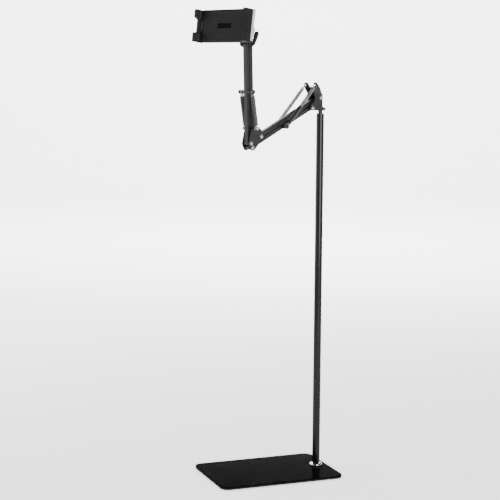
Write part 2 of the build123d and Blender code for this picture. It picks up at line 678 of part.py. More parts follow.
# Clamping lever: a moulded handle on the near end of the front pivot, cranked away from the arm
lever_profile = make_face(
    Polyline(
        (LEVER_HUB_START + 3.0, -5.5),
        (27.0, -6.5),
        (37.5, 3.0),
        (51.0, 32.0),
        (48.5, 37.0),
        (40.0, 38.5),
        (30.5, 11.0),
        (LEVER_HUB_START + 3.0, 5.5),
        close=True,
    )
)
lever_profile = fillet(lever_profile.vertices().sort_by(Axis.Y)[-5:], 2.0)
lever_frame = Plane(origin=(0, -HEAD_FRONT_PIVOT[0], HEAD_FRONT_PIVOT[1]), x_dir=(1, 0, 0), z_dir=(0, -1, 0))
lever_blade = extrude(lever_frame * lever_profile, amount=LEVER_WIDTH / 2, both=True)
lever_blade = fillet(lever_blade.edges().filter_by(Axis.Y, reverse=True).sort_by(Axis.Z)[-8:], 1.5)
lever_hub = rod(HEAD_FRONT_PIVOT, LEVER_HUB_RADIUS, LEVER_HUB_START, LEVER_HUB_END)
lever_hub = fillet(lever_hub.faces().sort_by(Axis.X)[-1].edges(), 1.5)
lever = lever_blade + lever_hub - rod(HEAD_FRONT_PIVOT, FIT, 0, LEVER_STUD_END + 0.5)
save(lever, "clamp_lever")


# Tablet holder
def holder_plane():
    tilt = radians(HOLDER_TILT_BACK)
    roll = radians(HOLDER_ROLL)
    return Plane(
        origin=(0, -HOLDER_CENTRE[0], HOLDER_CENTRE[1]),
        x_dir=(cos(roll), 0, -sin(roll)),
        z_dir=(0, -cos(tilt), sin(tilt)),
    )


HOLDER = holder_plane()
HALF_WIDTH = HOLDER_WIDTH / 2
HALF_HEIGHT = HOLDER_HEIGHT / 2
SHELL_BACK = -HOLDER_DEPTH


def block(x_low, x_high, y_low, y_high, z_low, z_high):
    """A rectangular block in the holder's own frame."""
    box = Box(x_high - x_low, y_high - y_low, z_high - z_low)
    return Pos((x_low + x_high) / 2, (y_low + y_high) / 2, (z_low + z_high) / 2) * box


def save_on_holder(shape, node):
    save(HOLDER.location * shape, node)


# Holder body: a moulded back shell with a slot for the tongue, closed by a flat front plate with a shallow recess
shell = block(-HALF_WIDTH + 1, HALF_WIDTH - 1, -HALF_HEIGHT, HALF_HEIGHT, SHELL_BACK, -FACE_PLATE)
shell = fillet(shell.edges().filter_by(Axis.Z), 4.0)
shell = fillet(shell.faces().sort_by(Axis.Z)[0].edges(), 2.5)
inner_x = HALF_WIDTH - 1 - SHELL_WALL
inner_y = HALF_HEIGHT - SHELL_WALL
shell = shell - block(-inner_x, inner_x, -inner_y, inner_y, SHELL_BACK + SHELL_WALL, 0)
TONGUE_GAP = 0.4
tongue_high = -FACE_PLATE - TONGUE_GAP
tongue_low = tongue_high - TONGUE_THICKNESS
slot_y = TONGUE_HEIGHT / 2 + TONGUE_GAP
shell = shell - block(-HALF_WIDTH, -inner_x + 1, -slot_y, slot_y, tongue_low - TONGUE_GAP, 0)
RAIL = 3.0
RAIL_LENGTH = 130.0
for side in (-1, 1):
    rail_y = side * (slot_y + RAIL / 2)
    rail = block(-inner_x, RAIL_LENGTH - inner_x, rail_y - RAIL / 2, rail_y + RAIL / 2, SHELL_BACK + 1, -FACE_PLATE)
    shell = shell + rail
MOUNT_BOSS_RADIUS = 9.0
MOUNT_DISC_RADIUS = 21.0
MOUNT_DISC = 4.0
MOUNT_BOSS = 8.0
SCREW_CIRCLE = 15.0
SCREW_RADIUS = 1.5
screw_spots = [Rot(0, 0, 45 + 90 * k) * Pos(SCREW_CIRCLE, 0, 0) for k in range(4)]
for spot in screw_spots:
    shell = shell - Pos(0, 0, SHELL_BACK + 1) * spot * Cylinder(SCREW_RADIUS, 12)
save_on_holder(shell, "holder_shell")

face = block(-HALF_WIDTH, HALF_WIDTH, -HALF_HEIGHT, HALF_HEIGHT, -FACE_PLATE, 0)
face = fillet(face.edges().filter_by(Axis.Z), 3.0)
face = chamfer(face.faces().sort_by(Axis.Z)[-1].edges(), 0.6)
recess = block(-RECESS_WIDTH / 2, RECESS_WIDTH / 2, -RECESS_HEIGHT / 2, RECESS_HEIGHT / 2, -RECESS_DEPTH, 1)
face = face - recess
save_on_holder(face, "holder_face")
INSERT_THICKNESS = 0.6
insert = block(
    -RECESS_WIDTH / 2 + 0.2,
    RECESS_WIDTH / 2 - 0.2,
    -RECESS_HEIGHT / 2 + 0.2,
    RECESS_HEIGHT / 2 - 0.2,
    -RECESS_DEPTH,
    -RECESS_DEPTH + INSERT_THICKNESS,
)
save_on_holder(insert, "recess_insert")


# Jaws: a wall with an upper and a lower hook; the right one is fixed and the left one slides out on a tongue
def jaw(inner_side):
    """A jaw that opens towards -x, with its inner side at this x; its hooks taper from their roots to their tips."""
    outer = inner_side + JAW_WALL
    body = block(inner_side, outer, -HALF_HEIGHT, HALF_HEIGHT, SHELL_BACK, JAW_SHELF)
    across = Plane(origin=(outer, 0, 0), x_dir=(0, 0, 1), z_dir=(-1, 0, 0))
    root = HALF_HEIGHT - HOOK_HEIGHT
    lip_start = HOOK_REACH - HOOK_LIP_DEPTH
    for side, taper in ((1, UPPER_HOOK_TAPER), (-1, LOWER_HOOK_TAPER)):
        tip = root + taper
        profile = [(0, HALF_HEIGHT), (HOOK_REACH, HALF_HEIGHT), (HOOK_REACH, tip), (JAW_SHELF, root), (0, root)]
        outline = make_face(Polyline(*[(z, side * y) for z, y in profile], close=True))
        hook = extrude(across * outline, amount=JAW_WALL)
        low, high = sorted((side * tip, side * HALF_HEIGHT))
        body = body + hook + block(inner_side - HOOK_LIP, inner_side + 1, low, high, lip_start, HOOK_REACH)
    outer_edges = body.edges().filter_by(Axis.Z).group_by(Axis.X)[-1]
    return fillet(outer_edges, JAW_ROUND)


PAD_MARGIN = 4.0
PAD_THICKNESS = 1.5


def jaw_pads(inner_side):
    """Rubber pads on the inner faces of the two hooks."""
    low = HALF_HEIGHT - HOOK_HEIGHT + PAD_MARGIN
    pad = block(inner_side - PAD_THICKNESS, inner_side, low, HALF_HEIGHT - PAD_MARGIN, PAD_THICKNESS, JAW_SHELF + 5)
    return Compound(children=[pad, mirror(pad, about=Plane.XZ)])


TRIM_DEPTH = 10.0
TRIM_TO_REAR = 0.5


def jaw_trim(outer_side):
    """The pale strip along the rear of a jaw's outer side."""
    low = SHELL_BACK + TRIM_TO_REAR
    return block(outer_side, outer_side + TRIM, -HALF_HEIGHT + 4, HALF_HEIGHT - 4, low, low + TRIM_DEPTH)


def mirrored(shape):
    return mirror(shape, about=Plane.YZ)


save_on_holder(jaw(HALF_WIDTH), "fixed_jaw")
save_on_holder(jaw_pads(HALF_WIDTH), "fixed_jaw_pads")
save_on_holder(jaw_trim(HALF_WIDTH + JAW_WALL), "fixed_jaw_trim")
moving_side = HALF_WIDTH + JAW_GAP
save_on_holder(mirrored(jaw(moving_side)), "sliding_jaw")
save_on_holder(mirrored(jaw_pads(moving_side)), "sliding_jaw_pads")
save_on_holder(mirrored(jaw_trim(moving_side + JAW_WALL)), "sliding_jaw_trim")
tongue = block(
    -moving_side, -moving_side + TONGUE_LENGTH, -TONGUE_HEIGHT / 2, TONGUE_HEIGHT / 2, tongue_low, tongue_high
)
save_on_holder(tongue, "jaw_tongue")
RETURN_SPRING_RADIUS = 1.6
RETURN_SPRING_LENGTH = 60.0
spring_middle = TONGUE_LENGTH - moving_side + 2.0 + RETURN_SPRING_LENGTH / 2
return_spring = Pos(spring_middle, 0, (tongue_low + tongue_high) / 2) * (
    Rot(0, 90, 0) * Cylinder(RETURN_SPRING_RADIUS, RETURN_SPRING_LENGTH)
)
save_on_holder(return_spring, "jaw_return_spring")

# Holder mount: a disc screwed to the shell, whose boss turns on the ball's stud
disc = Pos(0, 0, SHELL_BACK - MOUNT_DISC / 2) * Cylinder(MOUNT_DISC_RADIUS, MOUNT_DISC)
disc = chamfer(disc.faces().sort_by(Axis.Z)[0].edges(), 1.0)
boss = Pos(0, 0, SHELL_BACK - MOUNT_DISC - MOUNT_BOSS / 2) * Cylinder(MOUNT_BOSS_RADIUS, MOUNT_BOSS)
mount_disc = disc + boss - Pos(0, 0, SHELL_BACK) * Cylinder(STUD_BALL_RADIUS + RUNNING, 60)
for spot in screw_spots:
    mount_disc = mount_disc - Pos(0, 0, SHELL_BACK) * spot * Cylinder(SCREW_RADIUS, 40)
save_on_holder(mount_disc, "holder_mount_disc")
SCREW_HEAD_RADIUS = 2.8
SCREW_HEAD = 1.4
screw = Cylinder(SCREW_RADIUS, MOUNT_DISC + SHELL_WALL)
screw = screw + Pos(0, 0, -(MOUNT_DISC + SHELL_WALL + SCREW_HEAD) / 2) * Cylinder(SCREW_HEAD_RADIUS, SCREW_HEAD)
screw_height = SHELL_BACK - MOUNT_DISC / 2 + SHELL_WALL / 2
screws = [Pos(0, 0, screw_height) * spot * screw for spot in screw_spots]
save_on_holder(Compound(children=screws), "holder_screws")

# Ball joint: the knuckle's cup holds the ball, and a collar nut tightens it
ball = Pos(0, 0, -BALL_BACK) * Sphere(BALL_RADIUS)
stud_length = BALL_BACK - HOLDER_DEPTH
stud_z = -BALL_BACK + stud_length / 2 - 0.3
ball_stud = ball + Pos(0, 0, stud_z) * Cylinder(STUD_BALL_RADIUS, stud_length - 0.6)
save_on_holder(ball_stud, "ball_stud")
cup = Pos(0, 0, -BALL_BACK) * Sphere(CUP_RADIUS)
cup = cup & block(-20, 20, -20, 20, -BALL_BACK - 20, -BALL_BACK + CUP_MOUTH)
cup = HOLDER.location * cup
ball_centre = HOLDER.from_local_coords(Vector(0, 0, -BALL_BACK))
BALL_CENTRE = (-ball_centre.Y, ball_centre.Z)
NECK_SIZE = (15.0, 14.0)
NECK_ROUND = 4.0
NECK_LENGTH = 26.0
STUD_WELL_RADIUS = 7.1
knuckle = rod(KNUCKLE_PIVOT, KNUCKLE_RADIUS, SPACER_GAP - PLATE_INNER, PLATE_INNER - SPACER_GAP)
neck_line = Plane(
    origin=(0, -KNUCKLE_PIVOT[0], KNUCKLE_PIVOT[1]),
    x_dir=(1, 0, 0),
    z_dir=(0, KNUCKLE_PIVOT[0] - BALL_CENTRE[0], BALL_CENTRE[1] - KNUCKLE_PIVOT[1]),
)
neck = extrude(neck_line * RectangleRounded(*NECK_SIZE, NECK_ROUND), amount=NECK_LENGTH)
stud_well = Pos(0, 0, -BALL_BACK) * Cylinder(STUD_WELL_RADIUS, HOLDER_DEPTH + BALL_RADIUS, align=STANDING)
ball_space = HOLDER.location * (Pos(0, 0, -BALL_BACK) * Sphere(BALL_RADIUS + RUNNING) + stud_well)
knuckle = knuckle + neck + cup - ball_space - rod(KNUCKLE_PIVOT, FIT, -20, 20)
save(knuckle, "tilt_knuckle")
COLLAR_LENGTH = 10.0
COLLAR_EDGE = 1.2
GRIP_GROOVES = 8
GROOVE_RADIUS = 2.0
collar = Pos(0, 0, -BALL_BACK - 1.5) * Cylinder(COLLAR_RADIUS, COLLAR_LENGTH)
collar = chamfer(collar.faces().sort_by(Axis.Z)[-1].edges(), COLLAR_EDGE)
for k in range(GRIP_GROOVES):
    groove = Pos(COLLAR_RADIUS + GROOVE_RADIUS / 2, 0, -BALL_BACK) * Cylinder(GROOVE_RADIUS, 3 * COLLAR_LENGTH)
    collar = collar - Rot(0, 0, 360 * k / GRIP_GROOVES) * groove
collar = HOLDER.location * (collar - Pos(0, 0, -BALL_BACK) * Cylinder(CUP_RADIUS + 0.02, 3 * COLLAR_LENGTH))
save(collar, "ball_collar")
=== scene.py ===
import json
from math import atan, cos, pi, radians, sin, sqrt, tau

import bmesh
import bpy
import numpy as np
from mathutils import Euler, Matrix


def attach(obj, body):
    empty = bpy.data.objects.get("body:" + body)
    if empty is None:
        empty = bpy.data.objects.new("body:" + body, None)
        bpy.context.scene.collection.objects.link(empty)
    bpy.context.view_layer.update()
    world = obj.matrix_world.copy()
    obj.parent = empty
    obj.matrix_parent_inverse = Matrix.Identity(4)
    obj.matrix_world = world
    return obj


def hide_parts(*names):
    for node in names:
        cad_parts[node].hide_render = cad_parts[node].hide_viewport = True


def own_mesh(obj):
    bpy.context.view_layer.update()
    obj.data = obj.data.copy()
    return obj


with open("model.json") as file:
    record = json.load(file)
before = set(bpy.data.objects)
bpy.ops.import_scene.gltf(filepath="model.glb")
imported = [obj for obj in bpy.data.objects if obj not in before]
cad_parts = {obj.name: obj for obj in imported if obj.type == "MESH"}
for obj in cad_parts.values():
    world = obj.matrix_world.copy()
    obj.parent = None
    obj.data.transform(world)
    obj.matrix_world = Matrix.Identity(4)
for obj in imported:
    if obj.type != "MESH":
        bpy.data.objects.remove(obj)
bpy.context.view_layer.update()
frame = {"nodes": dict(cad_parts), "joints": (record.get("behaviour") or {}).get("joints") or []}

# Camera
# The stand is seen from its front right, from about the height of the pole's top, through a long lens.
CAMERA_PLACE = (2.7424, -3.2630, 1.2152)
CAMERA_AZIMUTH = 43.0
CAMERA_PITCH = 6.7065
CAMERA_ROLL = 0.393
FOCAL_PIXELS = 1336.16
FRAME_PIXELS = 500.0
SENSOR_MM = 36.0

camera_data = bpy.data.cameras.new("studio_camera")
camera_data.sensor_width = SENSOR_MM
camera_data.lens = FOCAL_PIXELS / FRAME_PIXELS * SENSOR_MM
camera_data.clip_end = 100.0
camera = bpy.data.objects.new("studio_camera", camera_data)
camera.location = CAMERA_PLACE
aim = Euler((radians(90.0 - CAMERA_PITCH), 0.0, radians(CAMERA_AZIMUTH))).to_matrix()
camera.rotation_euler = (aim @ Matrix.Rotation(radians(CAMERA_ROLL), 3, "Z")).to_euler()
bpy.context.scene.collection.objects.link(camera)
bpy.context.scene.camera = camera

# Studio
# A pale floor that sweeps up into a round wall in a dim room, lit by soft lamps: a wide one to the left of the
# camera and a narrower one to its right, which draw the two grey bands down the pole, and one that washes the wall.
WALL_RADIUS = 13.0
WALL_SWEEP = 1.6
WALL_HEIGHT = 3.6
FLOOR_DROP = 0.0003
WALL_FACETS = 96
SWEEP_ROWS = 12
FLOOR_ROWS = (0.0, 1.0, 4.0, 8.0)
FLOOR_GLOW = 0.85
ROOM_GLOW = 0.06


def linear(code):
    """The linear colour of an sRGB hex code, by the standard's two-part curve."""
    srgb = np.array([int(code[k : k + 2], 16) for k in (1, 3, 5)]) / 255.0
    rgb = np.where(srgb <= 0.04045, srgb / 12.92, ((srgb + 0.055) / 1.055) ** 2.4)
    return (*rgb.tolist(), 1.0)


def add_node(material, kind, settings=None, links=None):
    """Adds a node. Settings name its sockets or properties, with "ramp" for the two stops of a colour ramp, and
    links join a socket to another node's output."""
    tree = material.node_tree
    node = tree.nodes.new(kind)
    for key, value in (settings or {}).items():
        if key == "ramp":
            for stop, (place, code) in zip(node.color_ramp.elements, value):
                stop.position = place
                stop.color = linear(code)
        elif key in node.inputs:
            node.inputs[key].default_value = value
        else:
            setattr(node, key, value)
    for key, (source, output) in (links or {}).items():
        tree.links.new(source.outputs[output], node.inputs[key])
    return node


def new_material(name):
    """An empty node material, and the place on it in object coordinates."""
    material = bpy.data.materials.new(name)
    material.use_nodes = True
    material.node_tree.nodes.clear()
    return material, (add_node(material, "ShaderNodeTexCoord"), "Object")


def finish_material(material, shader):
    add_node(material, "ShaderNodeOutputMaterial", links={"Surface": (shader, 0)})
    return material


def joined_rows(rows, columns):
    """The quads between a grid's rows, each row a closed ring."""
    here = np.arange(columns)[None]
    there = (here + 1) % columns
    row = np.arange(rows - 1)[:, None] * columns
    return np.stack([row + here, row + there, row + columns + there, row + columns + here], -1).reshape(-1, 4)


def solid(name, grids, sharp=35.0):
    """A mesh of closed surfaces. Each grid is rows of points round a section, and a row at one point closes an
    end."""
    quads, count = [], 0
    for grid in grids:
        rows, columns = grid.shape[:2]
        quads.append(joined_rows(rows, columns) + count)
        count += rows * columns
    mesh = bpy.data.meshes.new(name)
    points = np.concatenate([grid.reshape(-1, 3) for grid in grids])
    mesh.from_pydata(points.tolist(), [], np.concatenate(quads).tolist())
    shell = bmesh.new()
    shell.from_mesh(mesh)
    bmesh.ops.remove_doubles(shell, verts=shell.verts, dist=1e-6)
    bmesh.ops.recalc_face_normals(shell, faces=shell.faces)
    shell.to_mesh(mesh)
    shell.free()
    mesh.shade_smooth()
    mesh.set_sharp_from_angle(angle=radians(sharp))
    piece = bpy.data.objects.new(name, mesh)
    bpy.context.scene.collection.objects.link(piece)
    return piece


plaster, plaster_place = new_material("painted_plaster_floor")
roller_marks = add_node(plaster, "ShaderNodeTexNoise", {"Scale": 60.0, "Detail": 3.0}, {"Vector": plaster_place})
plaster_tone = add_node(
    plaster, "ShaderNodeValToRGB", {"ramp": ((0.3, "#f2f2f2"), (0.7, "#f8f8f8"))}, {"Fac": (roller_marks, 0)}
)
finish_material(
    plaster,
    add_node(
        plaster,
        "ShaderNodeBsdfPrincipled",
        {
            "Roughness": 0.9,
            "Specular IOR Level": 0.0,
            "Emission Color": linear("#ffffff"),
            "Emission Strength": FLOOR_GLOW,
        },
        {"Base Color": (plaster_tone, 0)},
    ),
)
around = np.linspace(0, tau, WALL_FACETS, endpoint=False)
sweep = np.linspace(0, pi / 2, SWEEP_ROWS)
reach = np.concatenate([FLOOR_ROWS, WALL_RADIUS - WALL_SWEEP * (1 - np.sin(sweep)), [WALL_RADIUS]])
climb = np.concatenate([np.zeros(len(FLOOR_ROWS)), WALL_SWEEP * (1 - np.cos(sweep)), [WALL_HEIGHT]]) - FLOOR_DROP
backdrop = np.stack(
    [np.outer(reach, np.cos(around)), np.outer(reach, np.sin(around)), climb[:, None] + 0 * around], -1
)
studio_floor = solid("studio_floor", [backdrop])
studio_floor.data.materials.append(plaster)

world = bpy.data.worlds.new("dim_studio")
world.use_nodes = True
bpy.context.scene.world = world
world.node_tree.nodes["Background"].inputs["Color"].default_value = linear("#808080")
world.node_tree.nodes["Background"].inputs["Strength"].default_value = ROOM_GLOW

# Each lamp: bearing from the camera in degrees, distance, height, width and height of its face, and watts.
LEFT_SOFTBOX = (-100.0, 2.3, 1.4, 4.6, 2.4, 90.0)
RIGHT_SOFTBOX = (26.0, 3.4, 1.5, 2.3, 2.6, 260.0)
WALL_WASH = (180.0, 6.5, 5.5, 8.0, 6.0, 2600.0)
WALL_WASH_TILT = 25.0
LAMP_AIM = 0.75


def soft_lamp(name, bearing, distance, height, wide, tall, watts):
    """A rectangular lamp that faces the pole, at a bearing from the camera's direction, positive to its right."""
    data = bpy.data.lights.new(name, "AREA")
    data.shape = "RECTANGLE"
    data.size = wide
    data.size_y = tall
    data.energy = watts
    lamp = bpy.data.objects.new(name, data)
    heading = radians(CAMERA_AZIMUTH - 90.0 + bearing)
    lamp.location = (distance * cos(heading), distance * sin(heading), height)
    lamp.rotation_euler = (pi / 2 - atan((height - LAMP_AIM) / distance), 0.0, heading + pi / 2)
    bpy.context.scene.collection.objects.link(lamp)
    return lamp


soft_lamp("left_softbox", *LEFT_SOFTBOX)
soft_lamp("right_softbox", *RIGHT_SOFTBOX)
wash = soft_lamp("wall_wash", *WALL_WASH)
wash.rotation_euler = (radians(WALL_WASH_TILT), 0.0, radians(CAMERA_AZIMUTH))

# Base mat
# A sheet of solid black rubber glued under the steel plate. Its cut edge is dull, with a fine grit.


def dress(nodes, material):
    """Gives carried-over pieces their finish."""
    for name in nodes:
        for slot in frame["nodes"][name].material_slots:
            slot.material = material


rubber, rubber_place = new_material("black_rubber")
rubber_grit = add_node(rubber, "ShaderNodeTexNoise", {"Scale": 900.0, "Detail": 4.0}, {"Vector": rubber_place})
rubber_tone = add_node(
    rubber, "ShaderNodeValToRGB", {"ramp": ((0.3, "#101010"), (0.7, "#1c1c1c"))}, {"Fac": (rubber_grit, 0)}
)
rubber_bump = add_node(
    rubber, "ShaderNodeBump", {"Strength": 0.35, "Distance": 0.0002}, {"Height": (rubber_grit, 0)}
)
finish_material(
    rubber,
    add_node(
        rubber,
        "ShaderNodeBsdfPrincipled",
        {"IOR": 1.52, "Roughness": 0.75, "Specular IOR Level": 0.25},
        {"Base Color": (rubber_tone, 0), "Normal": (rubber_bump, 0)},
    ),
)
dress(["base_mat"], rubber)

# Base plate and pole
# A thick steel plate and two steel tubes in black powder coat. The tubes' coat flows out almost flat, so reflections
# waver in it over a slight orange peel. The plate's coat mirrors next to nothing and stays an even deep black.
ORANGE_PEEL_MM = 2.2


def gloss_powder_coat(name, specular, peel_depth):
    """A deep black coat whose shine wavers over the peel and goes hazy in wide patches. A lower specular leaves
    less of the room in it."""
    coat, place = new_material(name)
    peel = add_node(coat, "ShaderNodeTexNoise", {"Scale": 1000.0 / ORANGE_PEEL_MM, "Detail": 2.0}, {"Vector": place})
    bump = add_node(coat, "ShaderNodeBump", {"Strength": peel_depth, "Distance": 0.0002}, {"Height": (peel, 0)})
    haze = add_node(coat, "ShaderNodeTexNoise", {"Scale": 14.0, "Detail": 6.0}, {"Vector": place})
    tone = add_node(coat, "ShaderNodeValToRGB", {"ramp": ((0.3, "#060607"), (0.7, "#0a0a0b"))}, {"Fac": (haze, 0)})
    sheen = add_node(coat, "ShaderNodeMapRange", {"To Min": 0.12, "To Max": 0.2}, {"Value": (haze, 0)})
    shader = add_node(
        coat,
        "ShaderNodeBsdfPrincipled",
        {"IOR": 1.45, "Specular IOR Level": specular},
        {"Base Color": (tone, 0), "Roughness": (sheen, 0), "Normal": (bump, 0)},
    )
    return finish_material(coat, shader)


dress(["lower_pole", "upper_pole"], gloss_powder_coat("gloss_black_powder_coat", 0.2, 0.1))
dress(["base_plate"], gloss_powder_coat("heavy_black_powder_coat", 0.001, 0.03))

# Foot collar
# A chromed steel collar that hides the screwed joint between the plate and the pole. Its plate mirrors the room.
chrome, chrome_place = new_material("chrome_plate")
chrome_haze = add_node(chrome, "ShaderNodeTexNoise", {"Scale": 220.0, "Detail": 4.0}, {"Vector": chrome_place})
chrome_rough = add_node(chrome, "ShaderNodeMapRange", {"To Min": 0.05, "To Max": 0.12}, {"Value": (chrome_haze, 0)})
finish_material(
    chrome,
    add_node(
        chrome,
        "ShaderNodeBsdfPrincipled",
        {"Base Color": linear("#dedfe0"), "Metallic": 1.0},
        {"Roughness": (chrome_rough, 0)},
    ),
)
dress(["foot_flange"], chrome)

# Studs, inserts and screws
# Turned steel with a bright zinc plate, a mid grey mirror that is a little cloudy, so that its shine breaks up.
zinc, zinc_place = new_material("bright_zinc_plate")
zinc_cloud = add_node(zinc, "ShaderNodeTexNoise", {"Scale": 400.0, "Detail": 3.0}, {"Vector": zinc_place})
zinc_tone = add_node(
    zinc, "ShaderNodeValToRGB", {"ramp": ((0.3, "#85888b"), (0.7, "#a6a6a4"))}, {"Fac": (zinc_cloud, 0)}
)
zinc_rough = add_node(zinc, "ShaderNodeMapRange", {"To Min": 0.18, "To Max": 0.34}, {"Value": (zinc_cloud, 0)})
finish_material(
    zinc,
    add_node(
        zinc,
        "ShaderNodeBsdfPrincipled",
        {"Metallic": 1.0},
        {"Base Color": (zinc_tone, 0), "Roughness": (zinc_rough, 0)},
    ),
)
dress(
    [
        "foot_stud",
        "foot_insert",
        "pole_joiner",
        "shaft_screw",
        "clamp_stud",
        "ball_stud",
        "holder_screws",
    ],
    zinc,
)

# Swivel bush, plugs, spacers and rollers
# Glass-filled nylon, moulded black, with the dull and slightly speckled skin that the glass gives it.
nylon, nylon_place = new_material("black_moulded_nylon")
nylon_speck = add_node(nylon, "ShaderNodeTexNoise", {"Scale": 800.0, "Detail": 5.0}, {"Vector": nylon_place})
nylon_tone = add_node(
    nylon, "ShaderNodeValToRGB", {"ramp": ((0.3, "#0b0b0b"), (0.7, "#161616"))}, {"Fac": (nylon_speck, 0)}
)
nylon_bump = add_node(nylon, "ShaderNodeBump", {"Strength": 0.25, "Distance": 0.0001}, {"Height": (nylon_speck, 0)})
finish_material(
    nylon,
    add_node(
        nylon,
        "ShaderNodeBsdfPrincipled",
        {"IOR": 1.53, "Roughness": 0.4, "Specular IOR Level": 0.3},
        {"Base Color": (nylon_tone, 0), "Normal": (nylon_bump, 0)},
    ),
)
dress(
    [
        "pole_top_bush",
        "lower_top_plugs",
        "lower_bottom_plugs",
        "upper_front_plugs",
        "upper_rear_plugs",
        "lower_spring_rollers",
        "upper_spring_rollers",
        "tilt_knuckle",
        "ball_collar",
        "shoulder_spacers",
        "elbow_spacers",
        "head_spacers",
    ],
    nylon,
)

# Shoulder bracket, arm tubes, elbow plates and head plates
# Pressed steel sheet and square steel tube with a satin black powder coat. Its fine grit spreads the light, so the
# faces turned to the lamps read as dark grey and the others as black.
SATIN_GRIT_MM = 1.4
satin, satin_place = new_material("satin_black_powder_coat")
satin_grit = add_node(
    satin, "ShaderNodeTexNoise", {"Scale": 1000.0 / SATIN_GRIT_MM, "Detail": 3.0}, {"Vector": satin_place}
)
satin_tone = add_node(
    satin, "ShaderNodeValToRGB", {"ramp": ((0.3, "#111112"), (0.7, "#181819"))}, {"Fac": (satin_grit, 0)}
)
satin_bump = add_node(satin, "ShaderNodeBump", {"Strength": 0.2, "Distance": 0.0002}, {"Height": (satin_grit, 0)})
finish_material(
    satin,
    add_node(
        satin,
        "ShaderNodeBsdfPrincipled",
        {"IOR": 1.5, "Roughness": 0.42, "Specular IOR Level": 0.2},
        {"Base Color": (satin_tone, 0), "Normal": (satin_bump, 0)},
    ),
)
dress(
    [
        "swivel_shaft",
        "shoulder_bracket",
        "lower_top_tube",
        "lower_bottom_tube",
        "elbow_plate_near",
        "elbow_plate_far",
        "upper_front_tube",
        "upper_rear_tube",
        "head_plate_near",
        "head_plate_far",
    ],
    satin,
)

# Pivot bolts
# Each pivot has a steel button-head bolt with a hexagon socket, a washer under each end, and a lock nut with a
# collar. All are zinc plated. The head's, and the rods under the spring rollers, are passivated black as well, a
# dull near black. The elbow's rear bolt is longer, and carries the upper springs between thin nuts.
BOLT_RADIUS = 0.003
HEAD_RADIUS = 0.0054
HEAD_HEIGHT = 0.0032
HEAD_RIM = 0.0006
DOME_FLAT = 0.0027
SOCKET_ACROSS = 0.004
SOCKET_DEPTH = 0.0018
EDGE = 0.0001
THREAD_PITCH = 0.0005
THREAD_DEPTH = 0.0003
NUT_ACROSS = 0.01004
NUT_HEIGHT = 0.004
COLLAR_RADIUS = 0.0044
COLLAR_HEIGHT = 0.0014
JAM_ACROSS = 0.009
JAM_HEIGHT = 0.0022
WASHER_RADIUS = 0.0066
WASHER = 0.001
PLATE_FACE = 0.015
LONG_BOLT_SEAT = 0.027
THREAD_END = 0.001
TURNED_FACETS = 48
DOME_ROWS = 7
THREAD_RIDGES = 8
NUT_FACE = 0.485

joint_at = {joint["name"]: np.array(joint["pos_m"]) for joint in frame["joints"] if "pos_m" in joint}
turn = np.linspace(0, tau, TURNED_FACETS, endpoint=False)


def turned(centre, profile):
    """Rings about an axis along X, from pairs of place along it and radius: y and z are the radius times the angle's
    cosine and sine, and a radius may itself change with the angle."""
    along = np.stack([np.broadcast_to(place, turn.shape) for place, _ in profile])
    radius = np.stack([np.broadcast_to(size, turn.shape) for _, size in profile])
    return np.stack([centre[0] + along, centre[1] + radius * np.cos(turn), centre[2] + radius * np.sin(turn)], -1)


def hexagon(across):
    """The radius of a hexagon at each angle: half its width over the cosine of the angle from the nearest flat."""
    return across / 2 / np.cos((turn + pi / 6) % (pi / 3) - pi / 6)


def button_bolt(centre, seat, end):
    """A socket, a head whose dome is a quarter ellipse, a shank, and the last threads as ridges round it."""
    top = seat + HEAD_HEIGHT
    bend = np.linspace(pi / 2, 0, DOME_ROWS)
    dome_place = seat + HEAD_RIM + (HEAD_HEIGHT - HEAD_RIM) * np.sin(bend)
    dome_radius = DOME_FLAT + (HEAD_RADIUS - DOME_FLAT) * np.cos(bend)
    socket = hexagon(SOCKET_ACROSS)
    rows = [(top - SOCKET_DEPTH, 0.0), (top - SOCKET_DEPTH, socket), (top - EDGE, socket), (top, socket + EDGE)]
    rows += zip(dome_place, dome_radius)
    rows += [(seat + EDGE, HEAD_RADIUS), (seat, HEAD_RADIUS - EDGE), (seat, BOLT_RADIUS)]
    ridge = np.arange(THREAD_RIDGES)
    rows += zip(end + THREAD_PITCH * (THREAD_RIDGES - ridge) / 2, BOLT_RADIUS - THREAD_DEPTH * (ridge % 2))
    return turned(centre, rows + [(end, BOLT_RADIUS - THREAD_DEPTH), (end, 0.0)])


def lock_nut(centre, start, side, across=NUT_ACROSS, height=NUT_HEIGHT, collar=True):
    """A hexagon whose corners are cut back by a cone at both faces, and a round collar with a nylon ring's edge."""
    prism = hexagon(across)
    face = NUT_FACE * across
    slope = (prism - face) * 0.5
    bore = BOLT_RADIUS + EDGE / 4
    rows = [(0.0, bore), (0.0, face), (slope, prism), (height - slope, prism), (height, face)]
    if collar:
        rows += [
            (height, COLLAR_RADIUS + 2 * EDGE),
            (height + 2 * EDGE, COLLAR_RADIUS),
            (height + COLLAR_HEIGHT - 4 * EDGE, COLLAR_RADIUS),
            (height + COLLAR_HEIGHT, COLLAR_RADIUS - 5 * EDGE),
            (height + COLLAR_HEIGHT, bore + EDGE),
        ]
    rows += [(height, bore), (0.0, bore)]
    return turned(centre, [(start + side * place, radius) for place, radius in rows])


def washer_ring(centre, low):
    """A flat ring with its edges just taken off."""
    bore, high = BOLT_RADIUS + EDGE / 4, low + WASHER
    rows = [(low, bore), (low, WASHER_RADIUS - EDGE), (low + EDGE, WASHER_RADIUS), (high - EDGE, WASHER_RADIUS)]
    return turned(centre, rows + [(high, WASHER_RADIUS - EDGE), (high, bore), (low, bore)])


def washers(centre):
    return [washer_ring(centre, PLATE_FACE), washer_ring(centre, -PLATE_FACE - WASHER)]


